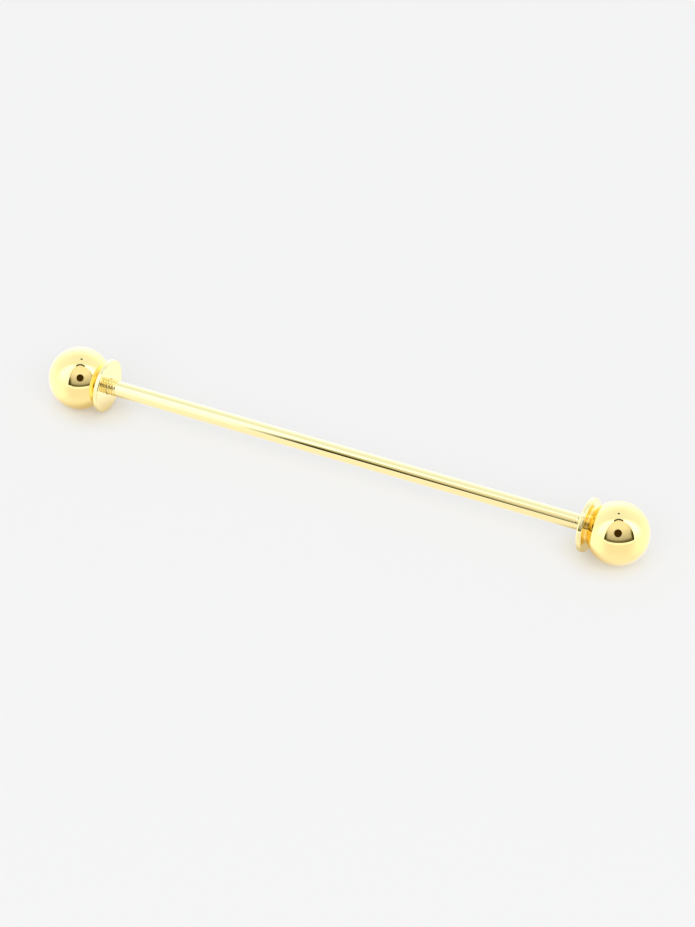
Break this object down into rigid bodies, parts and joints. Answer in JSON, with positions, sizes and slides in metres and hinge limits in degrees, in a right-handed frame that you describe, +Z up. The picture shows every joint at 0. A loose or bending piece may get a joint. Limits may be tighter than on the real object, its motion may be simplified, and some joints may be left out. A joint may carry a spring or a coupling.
{
  "type": "collar bar",
  "caption": "Collar bar: a slim polished rod with a flanged ball screwed on to each end, worn through the eyelets of a shirt collar.",
  "frame": {"origin": "middle of the rod, on its axis", "axes": "+X along the rod towards the right ball, +Z up, and the bar lies on its two balls"},
  "size_m": [0.0614, 0.006, 0.006],
  "materials": {
    "polished_gold": "mirror-polished pale gold plate",
    "plain_brass": "as turned"
  },
  "bodies": {
    "rod": {"rod": "polished_gold"},
    "left_bush": {"left_threaded_bush": "plain_brass"},
    "left_end": {"left_ball": "polished_gold", "left_flange": "polished_gold"},
    "right_bush": {"right_threaded_bush": "plain_brass"},
    "right_end": {"right_ball": "polished_gold", "right_flange": "polished_gold"}
  },
  "joints": [
    {"name": "left_end_travel", "type": "slide", "parent": "rod", "child": "left_bush", "axis": [-1, 0, 0], "range_m": [0, 0.0027]},
    {"name": "left_end_turn", "type": "hinge", "parent": "left_bush", "child": "left_end", "pos_m": [-0.0276, 0, 0], "axis": [-1, 0, 0], "range_deg": [0, 3240]},
    {"name": "right_end_travel", "type": "slide", "parent": "rod", "child": "right_bush", "axis": [1, 0, 0], "range_m": [0, 0.0027]},
    {"name": "right_end_turn", "type": "hinge", "parent": "right_bush", "child": "right_end", "pos_m": [0.0276, 0, 0], "axis": [1, 0, 0], "range_deg": [0, 3240]}
  ],
  "couplings": [
    {"joint": "left_end_turn", "follows": "left_end_travel", "rad_per_m": 20944},
    {"joint": "right_end_turn", "follows": "right_end_travel", "rad_per_m": 20944}
  ]
}
